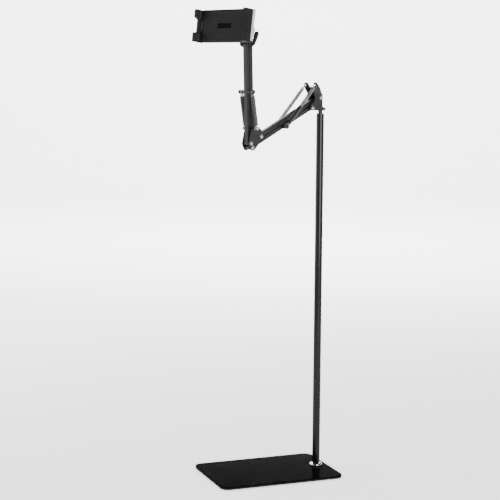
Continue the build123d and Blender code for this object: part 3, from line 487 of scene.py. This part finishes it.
def pivot_set(centre):
    """The bolt, lock nut and two washers of one pivot."""
    face = PLATE_FACE + WASHER
    end = -face - NUT_HEIGHT - COLLAR_HEIGHT - THREAD_END
    return [button_bolt(centre, face, end), lock_nut(centre, -face, -1), *washers(centre)]


shoulder_top, shoulder_low = joint_at["lower_arm_tilt"], joint_at["lower_bottom_pivot"]
elbow_top, elbow_front = joint_at["elbow_level"], joint_at["upper_arm_tilt"]
elbow_rear = joint_at["upper_rear_pivot"]
elbow_low = shoulder_low + elbow_top - shoulder_top
head_front, knuckle_pivot = joint_at["head_level"], joint_at["holder_tilt"]
head_rear = elbow_rear + head_front - elbow_front
long_end = -LONG_BOLT_SEAT - NUT_HEIGHT - COLLAR_HEIGHT - THREAD_END
jam_nuts = [lock_nut(elbow_rear, side * PLATE_FACE, side, JAM_ACROSS, JAM_HEIGHT, False) for side in (1, -1)]
end_nut = lock_nut(head_front, -PLATE_FACE - WASHER, -1)
bolt_sets = {
    "shoulder_bolts": ("shoulder", "shoulder_fasteners", pivot_set(shoulder_top) + pivot_set(shoulder_low)),
    "elbow_bolts": (
        "elbow",
        "elbow_fasteners",
        [grid for place in (elbow_top, elbow_low, elbow_front) for grid in pivot_set(place)]
        + [*jam_nuts, lock_nut(elbow_rear, -LONG_BOLT_SEAT, -1)],
    ),
    "elbow_long_bolt": ("elbow", "elbow_spring_bolt", [button_bolt(elbow_rear, LONG_BOLT_SEAT, long_end)]),
    "head_bolts": (
        "head",
        "head_fasteners",
        [*pivot_set(head_rear), *pivot_set(knuckle_pivot), *washers(head_front), end_nut],
    ),
}
black_zinc, black_place = new_material("black_zinc_plate")
black_cloud = add_node(black_zinc, "ShaderNodeTexNoise", {"Scale": 400.0, "Detail": 3.0}, {"Vector": black_place})
black_tone = add_node(
    black_zinc, "ShaderNodeValToRGB", {"ramp": ((0.3, "#101011"), (0.7, "#1a1a1b"))}, {"Fac": (black_cloud, 0)}
)
finish_material(
    black_zinc,
    add_node(
        black_zinc,
        "ShaderNodeBsdfPrincipled",
        {"IOR": 1.5, "Roughness": 0.4, "Specular IOR Level": 0.3},
        {"Base Color": (black_tone, 0)},
    ),
)
dress(["lower_spring_pin", "upper_spring_pin"], black_zinc)
for name, (body, node, grids) in bolt_sets.items():
    bolts = solid(name, grids, sharp=28.0)
    bolts.data.materials.append(black_zinc if name == "head_bolts" else zinc)
    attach(bolts, body)
    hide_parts(node)

# Lower springs
# Two extension springs of bright drawn wire hold the lower arm up. Each hooks through a horn of the bracket and
# round a roller on the arm. The turns and the two loops are one wire, and the turns stand a little open.
WIRE_RADIUS = 0.0009
COIL_RADIUS = 0.0048
LOOP_RADIUS = 0.0054
LOOP_OFFSET = 0.0018
LOOP_TURN = 300.0
SPRING_SIDE = 0.022
HORN_SIDE = 0.0192
DRAW_IN_TURNS = 0.75
LOWER_TURNS = 56.25
LOWER_FIRST = -90.0
TURN_POINTS = 20
LOOP_POINTS = 41
WIRE_FACETS = 10

wire, wire_place = new_material("drawn_spring_wire")
wire_streak = add_node(wire, "ShaderNodeTexNoise", {"Scale": 500.0, "Detail": 3.0}, {"Vector": wire_place})
wire_tone = add_node(
    wire, "ShaderNodeValToRGB", {"ramp": ((0.3, "#5c5d5f"), (0.7, "#808182"))}, {"Fac": (wire_streak, 0)}
)
finish_material(
    wire,
    add_node(
        wire, "ShaderNodeBsdfPrincipled", {"Metallic": 1.0, "Roughness": 0.38}, {"Base Color": (wire_tone, 0)}
    ),
)


def spring_axes(start, end):
    """Three unit vectors as rows: across the arm, square to both, and from start to end."""
    up = (end - start) / np.linalg.norm(end - start)
    across = np.array([1.0, 0.0, 0.0])
    return np.stack([across, np.cross(up, across), up])


def drawn_in(turns):
    """The coil's radius, which eases from the loop's offset to full size as a cubic step over the first turns."""
    share = np.clip(turns / DRAW_IN_TURNS, 0.0, 1.0)
    return LOOP_OFFSET + (COIL_RADIUS - LOOP_OFFSET) * share**2 * (3 - 2 * share)


def coil_line(turns, first, low, high, loop_below, loop_above):
    """A helix in the spring's axes: its angle and height grow evenly, and its radius is drawn in at a loop."""
    share = np.linspace(0, 1, int(turns * TURN_POINTS) + 1)
    radius = np.full(share.size, COIL_RADIUS)
    if loop_below:
        radius = np.minimum(radius, drawn_in(share * turns))
    if loop_above:
        radius = np.minimum(radius, drawn_in((1 - share) * turns))
    angle = radians(first) + tau * turns * share
    out = np.stack([np.cos(angle), np.sin(angle), 0 * share], -1)
    line = out * radius[:, None]
    line[:, 2] = low + (high - low) * share
    return line, out


def loop_line(at_angle, centre, sign):
    """An open ring that stands on the coil's end: a circle in the plane of the axis and the wire's heading."""
    bend = np.radians(np.linspace(0, LOOP_TURN, LOOP_POINTS))
    out = np.array([cos(radians(at_angle)), sin(radians(at_angle)), 0.0])
    heading = np.array([-out[1], out[0], 0.0])
    axis = np.array([0.0, 0.0, 1.0])
    ring = sign * LOOP_RADIUS * (np.outer(np.sin(bend), heading) - np.outer(np.cos(bend), axis))
    return ring + out * LOOP_OFFSET + axis * centre, np.tile(out, (bend.size, 1))


def wire_grid(line, side, radius=WIRE_RADIUS):
    """A round wire along a line: circles in the plane of the side vector and its cross product with the tangent."""
    tangent = np.gradient(line, axis=0)
    tangent /= np.linalg.norm(tangent, axis=1)[:, None]
    normal = side - tangent * np.sum(side * tangent, axis=1)[:, None]
    normal /= np.linalg.norm(normal, axis=1)[:, None]
    other = np.cross(tangent, normal)
    angle = np.linspace(0, tau, WIRE_FACETS, endpoint=False)
    ring = normal[:, None] * np.cos(angle)[:, None] + other[:, None] * np.sin(angle)[:, None]
    ends = np.repeat(line[[0, -1], None], WIRE_FACETS, axis=1)
    return np.concatenate([ends[:1], line[:, None] + radius * ring, ends[1:]])


def placed(grid, origin, axes):
    """The grid carried from its own axes, given as rows, to its place."""
    return grid @ axes + origin


def spring_piece(name, grids, origin, axes, body, nodes=()):
    """Wires in a spring's axes, made one piece that rides on a body and stands in for the nodes named."""
    piece = solid(name, [placed(grid, origin, axes) for grid in grids], sharp=60.0)
    piece.data.materials.append(wire)
    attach(piece, body)
    if nodes:
        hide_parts(*nodes)
    return piece


horn, lower_pin = joint_at["lower_spring_pivot"], joint_at["lower_sleeve_pivot"]
lower_start = horn - spring_axes(horn, lower_pin)[1] * LOOP_OFFSET
lower_axes = spring_axes(lower_start, lower_pin)
lower_length = np.linalg.norm(lower_pin - lower_start)
horn_crossing = sqrt(LOOP_RADIUS**2 - (SPRING_SIDE - HORN_SIDE) ** 2)
lower_low = horn_crossing + LOOP_RADIUS
lower_high = lower_length - LOOP_RADIUS
for side, word in ((1, "near"), (-1, "far")):
    origin = lower_start + np.array([side * SPRING_SIDE, 0, 0])
    coil = wire_grid(*coil_line(LOWER_TURNS, LOWER_FIRST, lower_low, lower_high, True, True))
    piece = spring_piece(
        f"lower_coil_{word}", [coil], origin, lower_axes, "lower_springs", [f"lower_spring_{word}"]
    )
    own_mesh(piece)
    horn_loop = wire_grid(*loop_line(LOWER_FIRST, horn_crossing, -1))
    spring_piece(f"lower_horn_loop_{word}", [horn_loop], origin, lower_axes, "lower_springs")
    pin_loop = wire_grid(*loop_line(LOWER_FIRST + 360.0 * LOWER_TURNS, lower_length, 1))
    spring_piece(f"lower_pin_loop_{word}", [pin_loop], origin, lower_axes, "lower_sleeve")

# Upper springs
# Two shorter springs of the same wire hold the upper arm up, from the elbow's long bolt to the upper rollers. The
# part inside the sleeve is two lengths that slide past each other as the arm leans out.
UPPER_TURNS = 26
TAIL_TURNS = 5
UPPER_COIL = 0.086
UPPER_TAIL = 0.012

upper_pin = joint_at["upper_sleeve_pivot"]
upper_axes = spring_axes(elbow_rear, upper_pin)
upper_length = np.linalg.norm(upper_pin - elbow_rear)
tail_high = upper_length - LOOP_RADIUS
tails = []
for side, word in ((1, "near"), (-1, "far")):
    origin = elbow_rear + np.array([side * SPRING_SIDE, 0, 0])
    coil = wire_grid(*coil_line(UPPER_TURNS, 0.0, LOOP_RADIUS, LOOP_RADIUS + UPPER_COIL, True, False))
    loop = wire_grid(*loop_line(0.0, 0.0, -1))
    spring_piece(f"upper_coil_{word}", [coil, loop], origin, upper_axes, "upper_springs", [f"upper_spring_{word}"])
    tail = wire_grid(*coil_line(TAIL_TURNS, 0.0, tail_high - UPPER_TAIL, tail_high, False, True))
    loop = wire_grid(*loop_line(0.0, upper_length, 1))
    beside = np.array([side * SPRING_SIDE, 0, 0])
    tails += [placed(grid, beside, upper_axes) for grid in (tail, loop)]
spring_piece("upper_tails", tails, elbow_rear, np.eye(3), "upper_sleeves", ["upper_spring_tails"])

# Spring sleeves
# Soft black vinyl tube pushed over the springs, so that nothing is nipped. It is satin, and the turns under it show
# through as faint rings. Its cut ends are rolled in a little.
LOWER_SLEEVE = 0.074
UPPER_SLEEVE = 0.088
SLEEVE_INNER = 0.0064
SLEEVE_OUTER = 0.00675
SLEEVE_TO_PIN = 0.014
SLEEVE_RING = 0.00008
SLEEVE_ROLL = 0.0006
SLEEVE_ROWS = 150

vinyl, vinyl_place = new_material("black_vinyl_tube")
vinyl_grain = add_node(vinyl, "ShaderNodeTexNoise", {"Scale": 350.0, "Detail": 3.0}, {"Vector": vinyl_place})
vinyl_tone = add_node(
    vinyl, "ShaderNodeValToRGB", {"ramp": ((0.3, "#121212"), (0.7, "#1c1c1c"))}, {"Fac": (vinyl_grain, 0)}
)
vinyl_rough = add_node(vinyl, "ShaderNodeMapRange", {"To Min": 0.34, "To Max": 0.46}, {"Value": (vinyl_grain, 0)})
finish_material(
    vinyl,
    add_node(
        vinyl,
        "ShaderNodeBsdfPrincipled",
        {"IOR": 1.53, "Specular IOR Level": 0.3},
        {"Base Color": (vinyl_tone, 0), "Roughness": (vinyl_rough, 0)},
    ),
)


def sleeve_grid(low, tube, pitch):
    """A tube of this length round the spring's axis: its outer radius ripples as a cosine with the spring's pitch,
    and falls off as a quarter circle over the rolled ends."""
    along = np.linspace(0, tube, SLEEVE_ROWS)
    rolled = np.clip(np.minimum(along, tube - along) / SLEEVE_ROLL, 0, 1)
    middle = (SLEEVE_INNER + SLEEVE_OUTER) / 2
    outer = middle + (SLEEVE_OUTER - middle) * np.sqrt(1 - (1 - rolled) ** 2)
    outer = outer - SLEEVE_RING * rolled * (1 - np.cos(tau * along / pitch))
    radius = np.concatenate([outer, [SLEEVE_INNER, SLEEVE_INNER], outer[:1]])
    height = low + np.concatenate([along, [tube, 0.0], along[:1]])
    out = np.stack([np.cos(turn), np.sin(turn), 0 * turn], -1)
    return radius[:, None, None] * out + height[:, None, None] * np.array([0.0, 0.0, 1.0])


def sleeve_piece(name, origins, axes, length, tube, pitch, body, node):
    """One tube for each origin, ending a set distance short of the roller's pin, as one piece."""
    low = length - SLEEVE_TO_PIN - tube
    piece = solid(name, [placed(sleeve_grid(low, tube, pitch), origin, axes) for origin in origins], sharp=50.0)
    piece.data.materials.append(vinyl)
    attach(piece, body)
    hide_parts(node)


near_side, far_side = (np.array([side * SPRING_SIDE, 0, 0]) for side in (1, -1))
lower_pitch = (lower_high - lower_low) / LOWER_TURNS
upper_pitch = UPPER_COIL / UPPER_TURNS
sleeve_piece(
    "lower_sleeve_tube",
    [lower_start + near_side],
    lower_axes,
    lower_length,
    LOWER_SLEEVE,
    lower_pitch,
    "lower_sleeve",
    "lower_spring_sleeve",
)
sleeve_piece(
    "upper_sleeve_tubes",
    [elbow_rear + near_side, elbow_rear + far_side],
    upper_axes,
    upper_length,
    UPPER_SLEEVE,
    upper_pitch,
    "upper_sleeves",
    "upper_spring_sleeves",
)

# Clamping lever
# A moulded handle on the near end of the head's front pivot. Its hub is round, and its blade is cranked away from
# the arm and widens to a rounded paddle. It is smooth black nylon with a soft shine.
# Each row of the hub: place along the pivot from the middle of the arm, and radius.
HUB_ROWS = (
    (0.0163, 0.00305),
    (0.0163, 0.0072),
    (0.0171, 0.0080),
    (0.0246, 0.0080),
    (0.0258, 0.0076),
    (0.0266, 0.0068),
    (0.0270, 0.0054),
    (0.0270, 0.0036),
    (0.0266, 0.0034),
    (0.0266, 0.0),
    (0.0255, 0.0),
    (0.0255, 0.00305),
    (0.0163, 0.00305),
)
BLADE_PATH = ((0.0210, -0.0003), (0.0345, -0.0020), (0.0345, 0.0100), (0.0452, 0.0362))
BLADE_WIDTH = 0.0065
BLADE_WAIST = 0.0006
BLADE_THICK = 0.0050
BLADE_SWELL = 0.0010
BLADE_TIP = 0.1
BLADE_TIP_WIDTH = 0.35
BLADE_POWER = 0.6
BLADE_ROWS = 40

lever_plastic, lever_place = new_material("polished_black_nylon")
lever_grain = add_node(lever_plastic, "ShaderNodeTexNoise", {"Scale": 260.0, "Detail": 3.0}, {"Vector": lever_place})
lever_tone = add_node(
    lever_plastic, "ShaderNodeValToRGB", {"ramp": ((0.3, "#0b0b0b"), (0.7, "#141414"))}, {"Fac": (lever_grain, 0)}
)
lever_rough = add_node(
    lever_plastic, "ShaderNodeMapRange", {"To Min": 0.2, "To Max": 0.3}, {"Value": (lever_grain, 0)}
)
finish_material(
    lever_plastic,
    add_node(
        lever_plastic,
        "ShaderNodeBsdfPrincipled",
        {"IOR": 1.53, "Specular IOR Level": 0.08},
        {"Base Color": (lever_tone, 0), "Roughness": (lever_rough, 0)},
    ),
)


def blade_grid():
    """Superellipse sections along a cubic curve: half the thickness follows a cosine of the distance along it and
    half the width loses a sine of it, and both shrink as a quarter circle over the last tenth."""
    share = (1 - np.cos(np.linspace(0, pi, BLADE_ROWS))) / 2
    weights = np.stack([(1 - share) ** 3, 3 * share * (1 - share) ** 2, 3 * share**2 * (1 - share), share**3], -1)
    line = weights @ np.array(BLADE_PATH)
    heading = np.gradient(line, axis=0)
    heading /= np.linalg.norm(heading, axis=1)[:, None]
    rounded = np.sqrt(1 - np.clip((share - (1 - BLADE_TIP)) / BLADE_TIP, 0, 1) ** 2)
    thick = (BLADE_THICK + BLADE_SWELL * np.cos(tau * share)) * rounded
    tip = BLADE_TIP_WIDTH + (1 - BLADE_TIP_WIDTH) * rounded
    wide = (BLADE_WIDTH - BLADE_WAIST * np.sin(pi * share)) * tip * np.sign(rounded)
    cosine, sine = np.cos(turn), np.sin(turn)
    across = np.sign(cosine) * np.abs(cosine) ** BLADE_POWER
    through = np.sign(sine) * np.abs(sine) ** BLADE_POWER
    x = line[:, :1] - heading[:, 1:] * (thick[:, None] * through)
    z = line[:, 1:] + heading[:, :1] * (thick[:, None] * through)
    blade = np.stack([x, wide[:, None] * across, z], -1)
    start = np.tile([BLADE_PATH[0][0], 0.0, BLADE_PATH[0][1]], (1, turn.size, 1))
    return np.concatenate([start, blade]) + head_front


lever = solid("lever_handle", [turned(head_front, HUB_ROWS), blade_grid()], sharp=32.0)
lever.data.materials.append(lever_plastic)
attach(lever, "lever")
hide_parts("clamp_lever")

# Tablet holder: shell, mount and jaws
# Moulded in black ABS. The tool was spark eroded, so the skin is a fine even grain that turns the shine to dark grey.
GRAIN_MM = 0.9
abs_black, abs_place = new_material("black_moulded_abs")
abs_grain = add_node(
    abs_black, "ShaderNodeTexNoise", {"Scale": 1000.0 / GRAIN_MM, "Detail": 3.0}, {"Vector": abs_place}
)
abs_tone = add_node(
    abs_black, "ShaderNodeValToRGB", {"ramp": ((0.3, "#0c0c0d"), (0.7, "#121213"))}, {"Fac": (abs_grain, 0)}
)
abs_bump = add_node(abs_black, "ShaderNodeBump", {"Strength": 0.25, "Distance": 0.0001}, {"Height": (abs_grain, 0)})
finish_material(
    abs_black,
    add_node(
        abs_black,
        "ShaderNodeBsdfPrincipled",
        {"IOR": 1.52, "Roughness": 0.62, "Specular IOR Level": 0.1},
        {"Base Color": (abs_tone, 0), "Normal": (abs_bump, 0)},
    ),
)
dress(["holder_shell", "holder_mount_disc", "fixed_jaw", "sliding_jaw"], abs_black)
dress(["fixed_jaw_pads", "sliding_jaw_pads"], rubber)

# Holder face
# A flat ABS plate that closes the shell. A rim and a thin groove run round it, and a shallow recess lies in its
# middle with a plain polished inlay.
FACE_CORNER_POINTS = 9
BALL_BACK = 0.042
# Each row: half width, half height, corner radius and height.
FACE_ROWS = (
    (0.0, 0.0, 0.0, -0.0020),
    (0.0910, 0.0475, 0.0030, -0.0020),
    (0.0910, 0.0475, 0.0030, -0.0006),
    (0.0908, 0.0473, 0.0028, -0.0002),
    (0.0904, 0.0469, 0.0025, 0.0),
    (0.0892, 0.0457, 0.0018, 0.0),
    (0.0891, 0.0456, 0.0017, -0.0005),
    (0.0884, 0.0449, 0.0013, -0.0005),
    (0.0883, 0.0448, 0.0012, 0.0),
    (0.0870, 0.0435, 0.0010, 0.0),
    (0.0300, 0.0097, 0.0022, 0.0),
    (0.0286, 0.0083, 0.0016, 0.0),
    (0.0282, 0.0079, 0.0013, -0.0001),
    (0.0280, 0.0077, 0.0011, -0.0004),
    (0.0280, 0.0077, 0.0011, -0.0014),
    (0.0, 0.0, 0.0, -0.0014),
)

holder_out = np.array(next(j["axis"] for j in frame["joints"] if j["name"] == "holder_turn"))
holder_right = -np.array(next(j["axis"] for j in frame["joints"] if j["name"] == "jaw_slide"))
holder_axes = np.stack([holder_right, np.cross(holder_out, holder_right), holder_out])
holder_centre = joint_at["holder_turn"] + BALL_BACK * holder_out


def rounded_rows(rows):
    """Rectangles with round corners, each from its half width, half height, corner radius and height: a quarter
    circle stands at each corner, and the straight sides are the gaps between them."""
    quarter = np.linspace(0, pi / 2, FACE_CORNER_POINTS)
    angle = quarter + np.arange(4)[:, None] * pi / 2
    right = np.array([1, -1, -1, 1])[:, None]
    up = np.array([1, 1, -1, -1])[:, None]
    wide, tall, corner, height = (column[:, None, None] for column in np.array(rows).T)
    x = right * (wide - corner) + corner * np.cos(angle)
    y = up * (tall - corner) + corner * np.sin(angle)
    return np.stack([x, y, height + 0 * x], -1).reshape(len(rows), -1, 3)


face = solid("holder_front", [placed(rounded_rows(FACE_ROWS), holder_centre, holder_axes)], sharp=30.0)
face.data.materials.append(abs_black)
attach(face, "holder")
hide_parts("holder_face")

inlay, inlay_place = new_material("polished_black_acrylic")
inlay_haze = add_node(inlay, "ShaderNodeTexNoise", {"Scale": 120.0, "Detail": 4.0}, {"Vector": inlay_place})
inlay_rough = add_node(inlay, "ShaderNodeMapRange", {"To Min": 0.22, "To Max": 0.3}, {"Value": (inlay_haze, 0)})
finish_material(
    inlay,
    add_node(
        inlay,
        "ShaderNodeBsdfPrincipled",
        {"Base Color": linear("#040405"), "IOR": 1.49, "Specular IOR Level": 0.02},
        {"Roughness": (inlay_rough, 0)},
    ),
)
dress(["recess_insert"], inlay)

# Jaw trims and tongue
# Pale grey strips along the rear of each jaw's outer side are a painted highlight, where the jaw's black side catches
# the lamp. The tongue that the left jaw slides on is a real part, and its dark grey is painted reflection, which
# shows as a lighter patch in the gap beside it.


def grey_painted_light_plastic(name, dark, light):
    """A smooth grey plastic between two sRGB codes, with a faint flow pattern, whose grey is painted light on the
    black holder.
    """
    plastic, place = new_material(name)
    grain = add_node(plastic, "ShaderNodeTexNoise", {"Scale": 500.0, "Detail": 3.0}, {"Vector": place})
    tone = add_node(plastic, "ShaderNodeValToRGB", {"ramp": ((0.3, dark), (0.7, light))}, {"Fac": (grain, 0)})
    shader = add_node(
        plastic,
        "ShaderNodeBsdfPrincipled",
        {"IOR": 1.52, "Roughness": 0.35, "Specular IOR Level": 0.5},
        {"Base Color": (tone, 0)},
    )
    return finish_material(plastic, shader)


# The jaw trims' pale grey is a painted highlight on the jaws' outer sides.
dress(["fixed_jaw_trim", "sliding_jaw_trim"], grey_painted_light_plastic("light_grey_abs", "#8e8e8e", "#9a9a9a"))
# The tongue is a real part, and its dark grey is painted reflection that lightens the gap beside the jaw.
dress(["jaw_tongue"], grey_painted_light_plastic("dark_grey_abs", "#343434", "#3e3e3e"))

# Jaw return spring
# A light extension spring inside the shell that draws the sliding jaw back. It is one close helix of thin wire.
RETURN_TURNS = 60
RETURN_RADIUS = 0.00125
RETURN_WIRE = 0.0003
RETURN_ENDS = (0.003, 0.063)
RETURN_DEPTH = -0.0044
RETURN_TURN_POINTS = 12

share = np.linspace(0, 1, RETURN_TURNS * RETURN_TURN_POINTS + 1)
out = np.stack([0 * share, np.cos(tau * RETURN_TURNS * share), np.sin(tau * RETURN_TURNS * share)], -1)
return_start, return_end = RETURN_ENDS[0] + RETURN_WIRE, RETURN_ENDS[1] - RETURN_WIRE
place = np.stack(
    [return_start + (return_end - return_start) * share, 0 * share, RETURN_DEPTH + 0 * share], -1
)
return_coil = wire_grid(place + RETURN_RADIUS * out, out, RETURN_WIRE)
spring_piece("return_coil", [return_coil], holder_centre, holder_axes, "holder", ["jaw_return_spring"])
